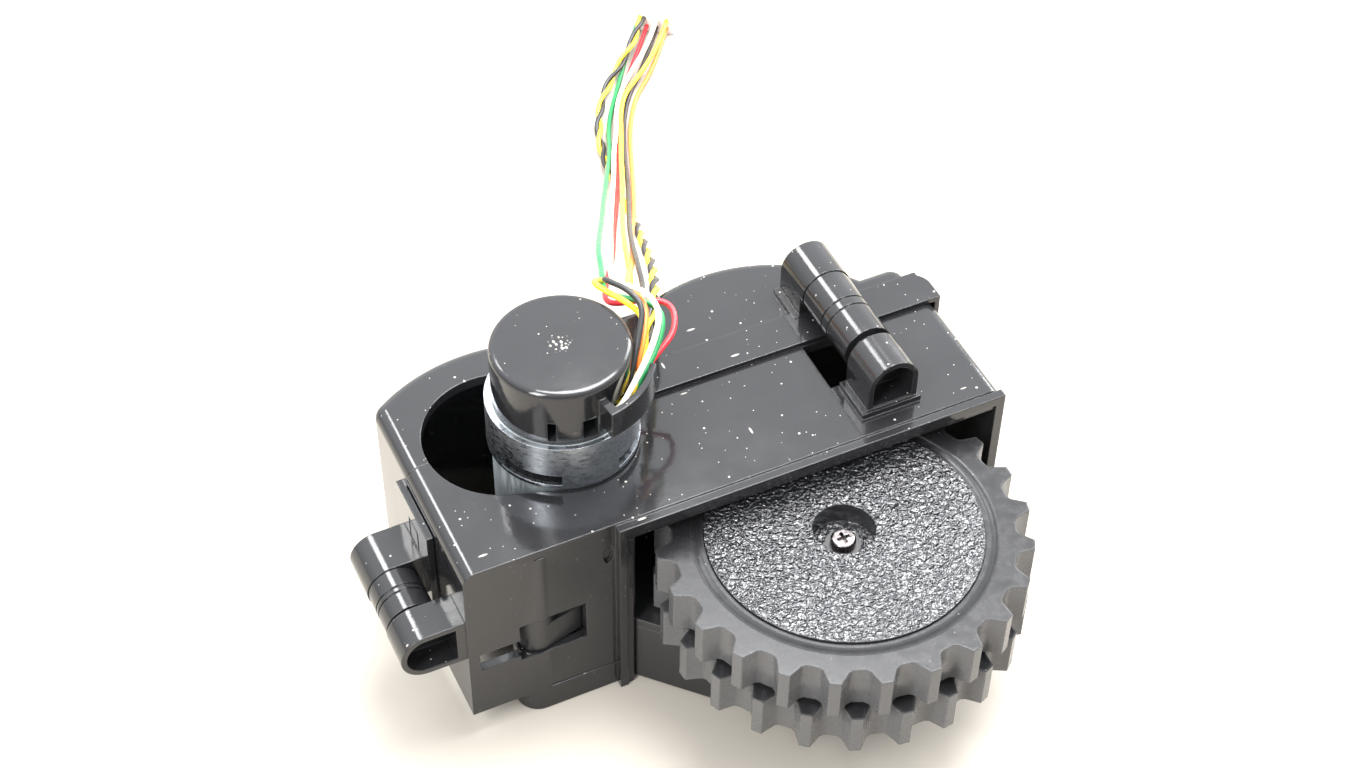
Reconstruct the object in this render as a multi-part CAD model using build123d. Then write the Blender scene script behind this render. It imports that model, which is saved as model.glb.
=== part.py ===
from build123d import *
import math
import os

os.makedirs("parts", exist_ok=True)

# Robot vacuum wheel module, in millimetres.
# X runs along the front wall, where the wheel looks out towards the floor side (-Y).
# Z runs along the wheel axis. The module lies on its side, on the plane Z = 0.
# Design positions are measured from the front wall's left end; save() moves them to the part's frame.

# Housing
BODY_X = 109.8
PLATE_Z = 47.0
PLATE_T = 2.2
WALL = 1.8
WALL_FOOT = 6.0
SEAM_Y = 27.5
SEAM_GAP = 0.1
EDGE_R = 2.6
CORNER_R = 3.0
REAR_LEFT = (21.4, 16.3)
REAR_LEFT_R = 35.8
REAR_RIGHT = (72.2, 18.6)
REAR_RIGHT_R = 34.0
BRIDGE_X = (34.0, 56.0)
SHOULDER_X = 108.4
SHOULDER_Y = 38.3
SHOULDER_START = 32.0
LIP_X = 45.5
LIP_Y = (25.5, 33.5)
LIP_T = 1.1
LIP_FIT = 0.05

# Swing arm
PIVOT = (14.8, 4.2)
SWING = 26.0
COLUMN_R = 4.4
KNUCKLE_R = 3.8
KNUCKLE_Z = (17.8, 27.0)
KNUCKLE_GAP = 0.35
PIN_R = 2.0
PIN_FIT = 0.02
TURN_FIT = 0.05
NECK_END = (24.0, 5.6)
NECK_R = 3.1
NECK_Z = 24.4

# Wheel window and the openings in the front wall
WINDOW_X = (30.0, 107.9)
RIM_OUT = 1.8
RIM_SIDE = 1.4
RIM_W = 2.6
LIP_IN = 0.9
SLOT_UPPER = (10.2, 23.5, 17.4, 27.4)
SLOT_LOWER = (2.2, 10.4, 18.7, 23.3)

# Three-knuckle fixing towers, one on the plate and one on the left wall
TOWER_R = 5.2
TOWER_BORE_R = 2.2
SPIGOT_R = 3.2
SPIGOT_L = 2.5
SPIGOT_FIT = 0.06
SLEEVE_R = 5.0
FACE_WALL = 1.1
RECESS_D = 5.0
PLATE_TOWER = (88.6, 53.1)
PLATE_TOWER_Y = (4.6, 13.2, 14.9, 31.6, 40.7)
SIDE_TOWER = (-7.4, 28.3)
SIDE_TOWER_Y = (0.5, 7.9, 8.5, 17.9, 27.3)
TAB_T = 1.3
TAB_GAP = 0.2
TAB_Y = (14.0, 29.5)
TAB_Z = (23.2, 43.0)
TAB_SLOT = (19.0, 23.6, 34.0, 39.4)

# Gearbox
BOX_Z = (0.7, 18.2)
BOX_WALL = 1.8
COVER_T = 2.0
FLOOR_T = 1.8
GEAR_GAP = 0.6
MOTOR = (30.0, 24.3)
WHEEL = (69.9, -12.7)
SEAT_R = 15.0
OUTPUT_CASE_R = 18.0
BACKLASH = 0.12
PRESSURE_ANGLE = 20.0
ADDENDUM = 0.9
DEDENDUM = 1.15
MODULES = (0.6, 0.7, 0.8)
PINIONS = (12, 12, 12)
WHEELS = (48, 42, 36)
GEAR_FACE = 3.0
FACE_GAP = 0.7
PINION_OVERHANG = 0.2
BOSS_STEP = 0.5
BUSH_STEP = 0.6
AXLE_R = 1.5
BOSS_R = 3.2
BUSH_WALLS = (1.0, 1.5)
SCREW_R = 1.1
SCREW_HEAD_R = 2.1
SCREW_HEAD_H = 1.2

# Motor and encoder
CAN_R = 13.4
CAN_WALL = 0.9
CAN_Z = 58.0
HOLE_FIT = 0.55
HOLE_END_FIT = 1.7
RING_R = 14.3
RING_Z = (47.6, 58.2)
RING_SLOT_Z = (48.5, 51.0)
RING_SLOT_ANGLE = 51.0
RING_SLOT_STARTS = (-165.0, -68.0)
SHAFT_R = 1.15
CAP_R = 13.0
CAP_WALL = 1.1
CAP_Z = (58.9, 70.8)
CAP_EDGE_R = 1.2
BOARD_Z = (62.2, 63.2)
HOOK_R = (16.1, 17.3)
HOOK_Z = (61.6, 67.6)
HOOK_ANGLE = (-77.0, -31.0)
HOOK_STEM = 5.0
EXIT_ANGLE = (-75.0, -10.0)
EXIT_Z = 64.6
WINDOW_ANGLES = ((-124.6, -117.7), (-96.0, -83.0))
WINDOW_Z = 63.6

# Wheel
TREAD_Z = (19.2, 39.0)
TIP_R = 35.0
LUGS = 24
LUG_H = 3.2
VALLEY_R = TIP_R - LUG_H
VALLEY_W = 3.9
VALLEY_TOP_W = 7.3
ROW_TURN = -0.4
BAND_R = VALLEY_R - 0.8
ROW_GAP = 0.4
TYRE_T = 7.0
RIM_R = TIP_R - TYRE_T
RIM_T = 1.9
DISC_INSET = 2.1
DISC_R = RIM_R - DISC_INSET
DISC_Z = 39.3
DISC_T = 2.2
HUB_HOLE_R = 5.9
HUB_HOLE_D = 4.7
HUB_R = 7.4
MARK_R = 1.6
MARK_W = 0.4
MARK_D = 0.15
MARK_REACH = 14.6
MARK_ANGLES = (25.0, 144.0, -96.0)
HUB_Z = 20.4
HUB_RIBS = 6
RIB_T = 1.6
OUTPUT_R = 3.0
FLAT = 2.3
SHAFT_TOP = 33.0
WHEEL_SCREW_R = 1.45
WHEEL_HEAD_R = 2.4
WHEEL_HEAD_H = 1.7
WASHER_R = 3.4
WASHER_T = 0.6

# Suspension spring, from a post on the arm to a peg on the front wall
SPRING_POST = (11.0, 20.4)
SPRING_PEG = (27.0, 5.6)
SPRING_Z = 28.6
SPRING_R = 1.6
SPRING_WIRE_R = 0.4
SPRING_TURNS = 7
POST_R = 1.3
POST_COLLAR_R = 2.2

# Wires and their plug; each route is a list of points chosen along the wire
WIRE_R = 0.55
PAIR_R = 1.1
BEND_SHARE = 0.45
HEADER_R = 8.6
HEADER_ANGLE = (-80.0, -8.0)
HEADER_Z = (59.9, 62.2)
PLUG_FACE = (119.5, 178.0)
PLUG_DIRECTION = (0.6, 0.8)
PLUG_PITCH = 2.5
PLUG_ROWS = (1.6, 4.1)
PLUG_L = 11.0
PLUG_H = 5.8
CONTACT = 1.2
CONTACT_L = 6.0
ROUTES = {
    "wire_green": [
        (33.0, 16.0, 61.5), (34.0, 13.0, 61.5), (35.5, 11.0, 63.9), (38.5, 12.5, 69.0), (43.0, 16.0, 73.5),
        (45.5, 22.0, 77.0), (44.5, 28.0, 78.8), (41.5, 33.0, 77.8), (45.0, 41.5, 69.5), (51.0, 55.5, 59.0),
        (62.5, 80.0, 40.0), (74.0, 105.0, 22.0), (83.5, 124.5, 10.0), (89.5, 136.5, 4.2), (93.5, 146.5, 1.0),
        (97.0, 153.0, 0.7), (101.5, 159.5, 0.7), (105.5, 165.5, 0.7), (110.5, 172.25, 1.6), (116.5, 180.25, 1.6)],
    "wire_white": [
        (34.0, 16.5, 60.3), (35.5, 13.5, 60.3), (37.0, 12.0, 62.7), (40.0, 13.5, 67.2), (44.5, 17.0, 71.8),
        (46.5, 23.0, 75.0), (46.0, 28.5, 76.6), (43.5, 34.0, 75.2), (47.0, 40.5, 68.5), (53.5, 55.0, 58.0),
        (64.5, 80.0, 39.0), (75.5, 104.0, 22.0), (84.0, 122.0, 11.8), (89.5, 134.5, 6.0), (94.5, 144.0, 2.5),
        (97.5, 151.0, 2.0), (101.5, 157.5, 2.0), (107.0, 163.0, 2.6), (114.5, 169.25, 4.1), (120.5, 177.25, 4.1)],
    "wire_yellow": [
        (35.1, 17.3, 61.5), (37.0, 14.5, 61.5), (39.0, 13.0, 63.9), (42.0, 15.5, 67.6), (46.0, 19.0, 71.0),
        (47.5, 24.5, 73.4), (47.0, 30.0, 74.2), (48.5, 36.5, 70.0), (53.0, 47.5, 62.0), (62.5, 69.0, 46.0),
        (73.5, 94.0, 28.0), (83.5, 116.0, 14.2), (90.5, 132.5, 6.2), (95.5, 143.5, 2.4), (98.5, 150.5, 2.0),
        (102.5, 157.0, 2.0), (109.0, 161.5, 2.6), (116.5, 167.75, 4.1), (122.5, 175.75, 4.1)],
    "wire_black": [
        (36.0, 18.0, 60.3), (38.5, 15.5, 60.3), (40.5, 14.5, 62.7), (43.5, 17.0, 66.8), (47.0, 21.0, 69.8),
        (48.5, 26.0, 71.6), (48.0, 31.5, 71.0), (51.0, 38.0, 66.5), (56.5, 51.0, 57.5), (65.5, 72.5, 42.0),
        (76.0, 96.0, 25.5), (85.5, 117.5, 12.0), (92.0, 134.0, 4.4), (96.5, 144.5, 0.9), (100.0, 151.5, 0.7),
        (104.0, 157.5, 0.7), (109.0, 163.0, 0.7), (114.5, 169.25, 1.6), (120.5, 177.25, 1.6)],
    "wire_orange": [
        (37.0, 19.0, 61.5), (39.5, 17.0, 61.5), (42.0, 16.5, 63.4), (45.0, 19.0, 65.9), (48.5, 22.5, 68.6),
        (50.0, 28.0, 69.8), (50.0, 33.0, 68.6), (53.0, 39.5, 64.0), (58.5, 52.5, 55.0), (67.5, 73.5, 40.0),
        (77.5, 96.5, 24.5), (86.5, 117.0, 12.0), (93.5, 133.5, 4.0), (98.0, 144.0, 0.9), (101.5, 150.5, 0.7),
        (105.5, 156.5, 0.7), (111.0, 161.5, 0.7), (116.5, 167.75, 1.6), (122.5, 175.75, 1.6)],
    "wire_red": [
        (37.5, 20.0, 60.3), (40.5, 18.5, 60.3), (42.5, 17.5, 62.7), (46.5, 20.0, 65.0), (51.5, 23.0, 65.8),
        (53.5, 28.5, 65.6), (50.5, 34.0, 65.8), (45.0, 37.0, 65.0), (48.5, 45.5, 61.0), (55.5, 58.5, 51.5),
        (64.5, 78.5, 37.5), (75.5, 101.5, 21.5), (84.5, 121.0, 9.6), (90.5, 135.5, 3.6), (95.0, 145.5, 0.8),
        (98.5, 152.0, 0.7), (102.5, 158.5, 0.7), (107.0, 164.5, 0.7), (112.5, 170.75, 1.6), (118.5, 178.75, 1.6)],
    "wire_pair": [
        (38.3, 21.8, 60.9), (41.5, 20.8, 60.9), (44.0, 20.5, 62.8), (46.0, 23.0, 63.6), (49.0, 26.5, 63.6),
        (52.5, 30.5, 62.4), (56.5, 35.5, 59.5), (59.0, 46.5, 53.5), (64.5, 59.0, 45.0), (72.0, 80.5, 31.0),
        (79.5, 102.5, 17.0), (84.5, 121.5, 7.0), (88.0, 135.5, 2.0), (90.5, 145.5, 1.2), (94.0, 153.0, 1.3),
        (98.0, 159.5, 1.4), (104.0, 165.5, 2.0), (111.5, 171.5, 4.1), (117.5, 179.5, 4.1)],
}


def around(centre, radius, degrees):
    """Point at a distance and a bearing from a centre."""
    turn = math.radians(degrees)
    return centre[0] + radius * math.cos(turn), centre[1] + radius * math.sin(turn)


def swung(point, degrees):
    """Where a point of the arm lies once the arm has turned about its pivot."""
    reach = math.dist(PIVOT, point)
    bearing = math.degrees(math.atan2(point[1] - PIVOT[1], point[0] - PIVOT[0]))
    return around(PIVOT, reach, bearing + degrees)


def disc(centre, radius):
    return Pos(*centre) * Circle(radius)


def rect(x0, x1, y0, y1):
    return Pos((x0 + x1) / 2, (y0 + y1) / 2) * Rectangle(x1 - x0, y1 - y0)


def block(x0, x1, y0, y1, z0, z1):
    middle = Pos((x0 + x1) / 2, (y0 + y1) / 2, (z0 + z1) / 2)
    return middle * Box(x1 - x0, y1 - y0, z1 - z0)


def prism(sketch, z0, z1):
    """Plan outline carried up from z0 to z1."""
    return extrude(Pos(0, 0, z0) * sketch, z1 - z0, dir=(0, 0, 1))


def tube(centre, outer, inner, z0, z1):
    return prism(disc(centre, outer) - disc(centre, inner), z0, z1)


def rod(centre, radius, z0, z1):
    return prism(disc(centre, radius), z0, z1)


def along_y(x, z, radius, y0, y1):
    """Round bar along Y."""
    upright = Cylinder(radius, y1 - y0, align=(Align.CENTER, Align.CENTER, Align.MIN))
    return Pos(x, y0, z) * Rot(-90, 0, 0) * upright


def link(a, radius_a, b, radius_b):
    """Outline of two round ends joined by the straight flanks that touch both."""
    heading = math.degrees(math.atan2(b[1] - a[1], b[0] - a[0]))
    lean = math.degrees(math.acos((radius_a - radius_b) / math.dist(a, b)))
    corners = [around(a, radius_a, heading - lean), around(b, radius_b, heading - lean),
               around(b, radius_b, heading + lean), around(a, radius_a, heading + lean)]
    return make_face(Polyline(*corners, close=True)) + disc(a, radius_a) + disc(b, radius_b)


def sector(centre, inner, outer, start, end):
    """Part of a ring between two bearings."""
    far = [around(centre, outer * 1.5, start + (end - start) * step / 4) for step in range(5)]
    wedge = make_face(Polyline(centre, *far, close=True))
    return (disc(centre, outer) - disc(centre, inner)) & wedge


def screw(centre, shank_r, head_r, head_h, head_z, tip_z):
    """Pan-head screw whose head starts at head_z; the shank runs to tip_z."""
    away = 1 if head_z > tip_z else -1
    head = rod(centre, head_r, min(head_z, head_z + away * head_h), max(head_z, head_z + away * head_h))
    shank = rod(centre, shank_r, min(head_z, tip_z), max(head_z, tip_z))
    drive = block(centre[0] - head_r * 0.6, centre[0] + head_r * 0.6, centre[1] - 0.3, centre[1] + 0.3,
                  head_z + away * head_h * 0.5 - head_h * 0.5, head_z + away * head_h * 0.5 + head_h * 0.5)
    drive = Pos(0, 0, away * head_h * 0.5) * drive
    return head + shank - drive


# Gear train: motor pinion, two compound gears and the output gear on the wheel's shaft
PITCH_SUMS = [MODULES[i] * (PINIONS[i] + WHEELS[i]) / 2 for i in range(3)]
SPAN = math.dist(MOTOR, WHEEL)
SPAN_AXIS = ((WHEEL[0] - MOTOR[0]) / SPAN, (WHEEL[1] - MOTOR[1]) / SPAN)


def between(ahead, aside):
    """Point given along and beside the line from the motor's axis to the wheel's."""
    return (MOTOR[0] + SPAN_AXIS[0] * ahead - SPAN_AXIS[1] * aside,
            MOTOR[1] + SPAN_AXIS[1] * ahead + SPAN_AXIS[0] * aside)


def gear_places():
    """Axes of the two compound gears, both the same distance beside that line."""
    first, second, third = PITCH_SUMS
    base = SPAN - second
    half = (first + third + base) / 2
    aside = 2 * math.sqrt(half * (half - first) * (half - third) * (half - base)) / base
    return (between(math.sqrt(first ** 2 - aside ** 2), aside),
            between(SPAN - math.sqrt(third ** 2 - aside ** 2), aside))


FIRST, SECOND = gear_places()
AXES = (MOTOR, FIRST, SECOND, WHEEL)
WHEEL_RADII = [MODULES[i] * (WHEELS[i] / 2 + ADDENDUM) for i in range(3)]
CASE_INNER = (SEAT_R - BOX_WALL, WHEEL_RADII[0] + GEAR_GAP, WHEEL_RADII[1] + GEAR_GAP, OUTPUT_CASE_R - BOX_WALL)
FACE_Z = [BOX_Z[1] - COVER_T - FACE_GAP - GEAR_FACE - i * (GEAR_FACE + FACE_GAP) for i in range(3)]


def involute(radius, base_r):
    """Angle that the flank has unwound at a radius; nothing below the base circle."""
    opening = math.acos(base_r / max(radius, base_r))
    return math.tan(opening) - opening


def gear_outline(centre, teeth, module, phase):
    """Toothed outline with straight flanks; phase is the bearing of one tooth."""
    pitch_r = teeth * module / 2
    tip_r = pitch_r + ADDENDUM * module
    root_r = pitch_r - DEDENDUM * module
    base_r = pitch_r * math.cos(math.radians(PRESSURE_ANGLE))
    half = (math.pi * module / 2 - BACKLASH) / (2 * pitch_r) + involute(pitch_r, base_r)
    corners = []
    for tooth in range(teeth):
        middle = phase + 360 * tooth / teeth
        for radius, side in ((root_r, -1), (tip_r, -1), (tip_r, 1), (root_r, 1)):
            lean = math.degrees(half - involute(radius, base_r))
            corners.append(around(centre, radius, middle + side * lean))
    return make_face(Polyline(*corners, close=True))


def phases():
    """Bearing of a tooth on each driven gear, so that every pair is in mesh at rest."""
    found = []
    for stage in range(3):
        a, b = AXES[stage], AXES[stage + 1]
        heading = math.degrees(math.atan2(b[1] - a[1], b[0] - a[0]))
        share = (heading / (360 / PINIONS[stage])) % 1
        found.append(heading + 180 - (360 / WHEELS[stage]) * (0.5 - share))
    return found


GEAR_PHASES = phases()


def wheel_teeth(stage, bore):
    """Large gear of a stage."""
    outline = gear_outline(AXES[stage + 1], WHEELS[stage], MODULES[stage], GEAR_PHASES[stage])
    return prism(outline - disc(AXES[stage + 1], bore), FACE_Z[stage], FACE_Z[stage] + GEAR_FACE)


def pinion_teeth(stage, bore, z0, z1):
    """Small gear of a stage."""
    outline = gear_outline(AXES[stage], PINIONS[stage], MODULES[stage], 0)
    return prism(outline - disc(AXES[stage], bore), z0, z1)


def compound_gear(stage):
    """Large gear of one stage with the next stage's pinion under it, on a long hub."""
    axle = AXES[stage + 1]
    bore = AXLE_R + TURN_FIT
    low = FACE_Z[stage + 1] - PINION_OVERHANG
    hub_r = PINIONS[stage + 1] * MODULES[stage + 1] / 2 - DEDENDUM * MODULES[stage + 1] - 0.2
    gear = wheel_teeth(stage, bore) + pinion_teeth(stage + 1, bore, low, FACE_Z[stage])
    gear += tube(axle, hub_r, bore, BOX_Z[0] + FLOOR_T + BOSS_STEP + 0.1, low)
    return gear + tube(axle, hub_r, bore, FACE_Z[stage] + GEAR_FACE, BOX_Z[1] - COVER_T - 0.1)


def motor_pinion():
    return pinion_teeth(0, SHAFT_R, FACE_Z[0] - PINION_OVERHANG, FACE_Z[0] + GEAR_FACE + PINION_OVERHANG)


def output_gear():
    hub = tube(WHEEL, OUTPUT_R + 2.0, OUTPUT_R, BOX_Z[0] + FLOOR_T + BUSH_STEP + 0.1, FACE_Z[2])
    return wheel_teeth(2, OUTPUT_R) + hub


# Housing shells
def housing_plan(wall=0.0):
    """Plan outline of the housing, drawn in by wall; its front stays open past Y = 0."""
    lead = 10.0
    bridge = [(x, centre[1] + math.sqrt(radius ** 2 - (x - centre[0]) ** 2))
              for x, centre, radius in ((BRIDGE_X[0], REAR_LEFT, REAR_LEFT_R),
                                        (BRIDGE_X[1], REAR_RIGHT, REAR_RIGHT_R))]
    fill = make_face(Polyline((BRIDGE_X[0], 0), *bridge, (BRIDGE_X[1], 0), close=True))
    plan = rect(0, BODY_X, -lead, SHOULDER_START) + rect(BODY_X / 2, SHOULDER_X, -lead, SHOULDER_Y) + fill
    plan += disc(REAR_LEFT, REAR_LEFT_R) + disc(REAR_RIGHT, REAR_RIGHT_R)
    plan &= rect(0, BODY_X, -lead, BODY_X)
    plan = offset(offset(plan, -CORNER_R), CORNER_R - wall)
    return plan & rect(0, BODY_X, 0, BODY_X)


def motor_hole():
    """Hole that the motor sweeps through as the arm swings."""
    return link(MOTOR, CAN_R + HOLE_FIT, swung(MOTOR, SWING), CAN_R + HOLE_END_FIT)


def housing_box():
    """Both shells as one moulding, before they are parted at the seam."""
    outer = prism(housing_plan(), 0, PLATE_Z)
    top = [edge for edge in outer.edges().group_by(Axis.Z)[-1] if edge.center().Y > EDGE_R / 2]
    outer = fillet(top, EDGE_R)
    inner = prism(housing_plan(WALL), 0, PLATE_Z - PLATE_T) - block(0, BODY_X, -1, WALL, -1, PLATE_Z)
    box = outer - inner - prism(motor_hole(), PLATE_Z - PLATE_T - 1, PLATE_Z + 1)
    left_floor = block(-1, PIVOT[0], -1, SEAM_Y, -1, WALL_FOOT)
    window = block(WINDOW_X[0], WINDOW_X[1], -1, WALL, -1, PLATE_Z - PLATE_T)
    return box - left_floor - window


def window_rim():
    """Proud bead round the wheel window, with a thinner lip inside it."""
    x0, x1 = WINDOW_X
    top = PLATE_Z - 0.3
    bead = Pos(0, 0, 0) * rect(x0 - RIM_SIDE + 1.0, BODY_X, 0, top)
    hole = rect(x0 + 1.2, x1, -1, top - RIM_W + 0.6)
    lip_hole = rect(x0 + RIM_W, x1 + 0.4, -1, top - RIM_W - 0.8)
    upright = Rot(90, 0, 0)
    frame = extrude(upright * (bead - hole), RIM_OUT, dir=(0, -1, 0))
    lip = extrude(upright * (rect(x0, x1 + 1, 0, top) - lip_hole), LIP_IN, dir=(0, -1, 0))
    return frame + Pos(0, -0.4, 0) * lip


def knuckle(tower, y0, y1, web):
    """One knuckle of a tower, with the web that ties it to the shell."""
    x, z = tower
    return along_y(x, z, TOWER_R, y0, y1) + web


def plate_web(y0, y1):
    x, z = PLATE_TOWER
    foot = block(x - TOWER_R - 1.4, x + TOWER_R + 0.6, y0 - 0.8, y1, PLATE_Z - 0.2, PLATE_Z + 1.2)
    return block(x - TOWER_R, x + TOWER_R, y0, y1, PLATE_Z - 0.2, z) + foot


def side_web(y0, y1, x1):
    x, z = SIDE_TOWER
    return block(x, x1, y0, y1, z - TOWER_R, z + TOWER_R)


def tower_bore(tower, y0, y1):
    return along_y(tower[0], tower[1], TOWER_BORE_R, y0 - 1, y1 + 1)


def spigot_seat(tower, y, away):
    """Counterbore in a knuckle's face for the sleeve's spigot."""
    depth = SPIGOT_L + 0.2
    y0 = y if away > 0 else y - depth
    return along_y(tower[0], tower[1], SPIGOT_R + SPIGOT_FIT, y0, y0 + depth)


def face_recess(tower, y0, toward):
    """Hollow in the near face: the knuckle's own outline, one wall in, open towards the shell."""
    x, z = tower
    radius = TOWER_R - FACE_WALL
    if toward == "down":
        hollow = block(x - radius, x + radius, y0 - 1, y0 + RECESS_D, z - TOWER_R + 0.6, z)
    else:
        hollow = block(x, x + TOWER_R + 0.4, y0 - 1, y0 + RECESS_D, z - radius, z + radius)
    return along_y(x, z, radius, y0 - 1, y0 + RECESS_D) + hollow


def pivot_column():
    """Lower and upper seats of the arm's pivot pin, moulded into the front wall."""
    lower = rod(PIVOT, COLUMN_R, 0, KNUCKLE_Z[0] - KNUCKLE_GAP)
    foot = block(PIVOT[0], WINDOW_X[0] + 0.4, PIVOT[1] - COLUMN_R, WALL, 0, WALL_FOOT + 0.2)
    upper = rod(PIVOT, COLUMN_R, KNUCKLE_Z[1] + KNUCKLE_GAP, PLATE_Z - PLATE_T + 0.2)
    bore = rod(PIVOT, PIN_R + PIN_FIT, 0.8, PLATE_Z - PLATE_T - 4)
    return lower + foot + upper, bore


def front_openings():
    """Stepped slot that shows the pivot knuckle, and the small recess beside the rim."""
    cuts = None
    for x0, x1, z0, z1 in (SLOT_UPPER, SLOT_LOWER):
        hole = block(x0, x1, -1, WALL + 0.01, z0, z1)
        cuts = hole if cuts is None else cuts + hole
    dimple = Pos(WINDOW_X[0] - 1.8, 0, 39.2) * Rot(90, 0, 0) * extrude(Ellipse(1.0, 2.4), 0.7, both=True)
    return cuts + dimple


def housing_front(box):
    shell = box & block(-1, BODY_X + 5, -1, SEAM_Y, -1, PLATE_Z + 1)
    column, bore = pivot_column()
    x, z = PLATE_TOWER
    near, near_end, sleeve_start, sleeve_end, _ = PLATE_TOWER_Y
    shell = shell - front_openings() + column + window_rim() - bore
    shell += block(WINDOW_X[0] + 2.4, WINDOW_X[0] + 3.6, 0.4, 6.0, BOX_Z[1] + 1.6, PLATE_Z - PLATE_T + 0.2)
    shell += knuckle(PLATE_TOWER, near, near_end, plate_web(near, near_end))
    shell -= block(x - TOWER_R - 3.0, x + TOWER_R - 0.4, near_end + 0.3, SEAM_Y - 2.2, PLATE_Z - PLATE_T - 1,
                   PLATE_Z + 1)
    shell -= face_recess(PLATE_TOWER, near, "down") + tower_bore(PLATE_TOWER, near, near_end)
    shell -= spigot_seat(PLATE_TOWER, near_end, -1)
    near, near_end, _, _, _ = SIDE_TOWER_Y
    shell += knuckle(SIDE_TOWER, near, near_end, side_web(near, near_end, 0.2))
    shell -= face_recess(SIDE_TOWER, near, "right") + tower_bore(SIDE_TOWER, near, near_end)
    shell -= spigot_seat(SIDE_TOWER, near_end, -1)
    y0, y1, z0, z1 = TAB_SLOT
    catch = block(-TAB_T - TAB_GAP, 0.2, y0 + 0.5, y1 - 0.5, z0 + 0.5, z1 - 0.5)
    x, y = SPRING_PEG
    bracket = block(x - POST_R, x + POST_R, WALL - 0.2, y, SPRING_Z - 3.6, SPRING_Z - SPRING_R - 0.6)
    bracket += rod(SPRING_PEG, POST_R, SPRING_Z - 3.6, SPRING_Z + 1.6)
    return shell + catch + bracket


def shell_lip():
    """Raised edge of the rear shell that laps over the front shell, right of the motor hole."""
    outer = prism(offset(housing_plan(), LIP_T), 0, PLATE_Z + LIP_T)
    core = prism(offset(housing_plan(), LIP_FIT), -1, PLATE_Z + LIP_FIT)
    band = (outer - core) & block(LIP_X, BODY_X + 5, LIP_Y[0], LIP_Y[1], 0, PLATE_Z + 5)
    root = (outer - prism(housing_plan(WALL), -1, PLATE_Z - PLATE_T)) & block(
        LIP_X, BODY_X + 5, SEAM_Y + SEAM_GAP, LIP_Y[1], 0, PLATE_Z + 5)
    return band + root


def housing_rear(box):
    shell = box & block(-1, BODY_X + 5, SEAM_Y + SEAM_GAP, 80, -1, PLATE_Z + 1)
    shell += shell_lip()
    sleeve_end, far_end = PLATE_TOWER_Y[3] + 0.1, PLATE_TOWER_Y[4]
    shell += knuckle(PLATE_TOWER, sleeve_end, far_end, plate_web(sleeve_end + 0.8, far_end))
    shell -= tower_bore(PLATE_TOWER, sleeve_end, far_end) + spigot_seat(PLATE_TOWER, sleeve_end, 1)
    y0, y1, z0, z1 = TAB_SLOT
    tab = block(-TAB_T - TAB_GAP, -TAB_GAP, TAB_Y[0], TAB_Y[1], TAB_Z[0], TAB_Z[1])
    tab += block(-TAB_T - TAB_GAP, 0.2, SEAM_Y + SEAM_GAP, TAB_Y[1], TAB_Z[0], TAB_Z[1])
    tab -= block(-5, 5, y0, y1, z0, z1)
    near, far = SIDE_TOWER_Y[3] + 0.1, SIDE_TOWER_Y[4]
    tab += knuckle(SIDE_TOWER, near, far, side_web(near, far, -TAB_GAP - 0.2))
    tab -= tower_bore(SIDE_TOWER, near, far) + spigot_seat(SIDE_TOWER, near, 1)
    return shell + tab


def tower_sleeve(tower, y0, y1, near_end):
    """Bush between two knuckles, located by a spigot at each end."""
    x, z = tower
    body = along_y(x, z, SLEEVE_R, y0, y1) + along_y(x, z, SPIGOT_R, near_end - SPIGOT_L, y1 + 0.1 + SPIGOT_L)
    for ring in (0.42, 0.55):
        y = y0 + (y1 - y0) * ring
        body -= along_y(x, z, SLEEVE_R + 1, y, y + 0.4) - along_y(x, z, SLEEVE_R - 0.25, y, y + 0.4)
    return body - tower_bore(tower, near_end - SPIGOT_L, y1 + SPIGOT_L)


# Swing arm
def box_outline(inset=0.0):
    """Plan outline of the gearbox, round the motor seat, the gears and the output shaft."""
    radii = [radius + BOX_WALL - inset for radius in CASE_INNER]
    outline = link(AXES[0], radii[0], AXES[3], radii[3])
    for i in range(3):
        outline += link(AXES[i], radii[i], AXES[i + 1], radii[i + 1])
    return outline


def case_ears():
    """Screw ears, the spring post's ear and the neck root, outside the gear space."""
    ears = disc(SCREWS[0], BOSS_R) + disc(SCREWS[2], BOSS_R)
    ears += link(AXES[0], SEAT_R, SPRING_POST, POST_COLLAR_R)
    return ears + link(AXES[0], SEAT_R, NECK_END, NECK_R)


SCREWS = (around(MOTOR, SEAT_R + 0.4, 172), between(SPAN * 0.49, -SEAT_R + BOX_WALL + 1.0),
          around(WHEEL, OUTPUT_CASE_R + 1.2, -28), between(SPAN * 0.49, 21.2))


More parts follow.
